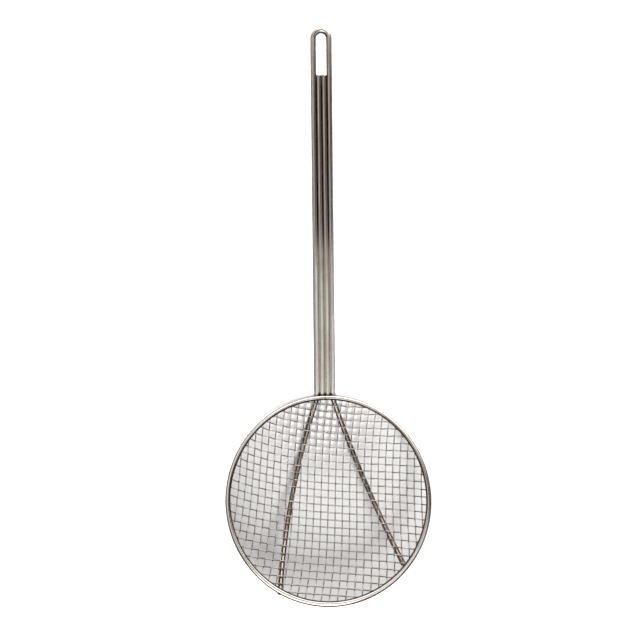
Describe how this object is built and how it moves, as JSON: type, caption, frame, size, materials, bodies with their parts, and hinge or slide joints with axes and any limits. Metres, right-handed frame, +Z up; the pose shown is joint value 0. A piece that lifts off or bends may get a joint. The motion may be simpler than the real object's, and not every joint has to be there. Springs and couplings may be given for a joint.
{
  "type": "skimmer",
  "caption": "Round woven-wire skimmer: a shallow square-mesh bowl in a welded hoop, on ribs and a long straight handle of parallel wires that ends in a hanging loop.",
  "frame": {"origin": "bottom centre of the bounding box: on the table under the middle of the length, midway across the hoop", "axes": "+Z up from the table the handle lies on, +Y along the handle from the bowl to the hanging loop, +X to the right seen from above with the handle away from the viewer"},
  "size_m": [0.178, 0.5058, 0.0879],
  "materials": {
    "handle_wire": "nickel-plated steel wire, dull bright",
    "hoop_wire": "nickel-plated steel wire, bright",
    "rib_wire": "nickel-plated steel wire, dull bright",
    "mesh_wire": "nickel-plated woven steel wire"
  },
  "bodies": {
    "root": {"handle_loop_wire": "handle_wire", "handle_inner_wire_left": "handle_wire", "handle_inner_wire_right": "handle_wire", "rim_hoop": "hoop_wire", "rib_left": "rib_wire", "rib_right": "rib_wire", "mesh_long_wire_01": "mesh_wire", "mesh_long_wire_02": "mesh_wire", "mesh_long_wire_03": "mesh_wire", "mesh_long_wire_04": "mesh_wire", "mesh_long_wire_05": "mesh_wire", "mesh_long_wire_06": "mesh_wire", "mesh_long_wire_07": "mesh_wire", "mesh_long_wire_08": "mesh_wire", "mesh_long_wire_09": "mesh_wire", "mesh_long_wire_10": "mesh_wire", "mesh_long_wire_11": "mesh_wire", "mesh_long_wire_12": "mesh_wire", "mesh_long_wire_13": "mesh_wire", "mesh_long_wire_14": "mesh_wire", "mesh_long_wire_15": "mesh_wire", "mesh_long_wire_16": "mesh_wire", "mesh_long_wire_17": "mesh_wire", "mesh_long_wire_18": "mesh_wire", "mesh_long_wire_19": "mesh_wire", "mesh_long_wire_20": "mesh_wire", "mesh_long_wire_21": "mesh_wire", "mesh_long_wire_22": "mesh_wire", "mesh_long_wire_23": "mesh_wire", "mesh_long_wire_24": "mesh_wire", "mesh_long_wire_25": "mesh_wire", "mesh_long_wire_26": "mesh_wire", "mesh_long_wire_27": "mesh_wire", "mesh_cross_wire_01": "mesh_wire", "mesh_cross_wire_02": "mesh_wire", "mesh_cross_wire_03": "mesh_wire", "mesh_cross_wire_04": "mesh_wire", "mesh_cross_wire_05": "mesh_wire", "mesh_cross_wire_06": "mesh_wire", "mesh_cross_wire_07": "mesh_wire", "mesh_cross_wire_08": "mesh_wire", "mesh_cross_wire_09": "mesh_wire", "mesh_cross_wire_10": "mesh_wire", "mesh_cross_wire_11": "mesh_wire", "mesh_cross_wire_12": "mesh_wire", "mesh_cross_wire_13": "mesh_wire", "mesh_cross_wire_14": "mesh_wire", "mesh_cross_wire_15": "mesh_wire", "mesh_cross_wire_16": "mesh_wire", "mesh_cross_wire_17": "mesh_wire", "mesh_cross_wire_18": "mesh_wire", "mesh_cross_wire_19": "mesh_wire", "mesh_cross_wire_20": "mesh_wire", "mesh_cross_wire_21": "mesh_wire", "mesh_cross_wire_22": "mesh_wire", "mesh_cross_wire_23": "mesh_wire", "mesh_cross_wire_24": "mesh_wire", "mesh_cross_wire_25": "mesh_wire", "mesh_cross_wire_26": "mesh_wire", "mesh_cross_wire_27": "mesh_wire"}
  },
  "joints": []
}
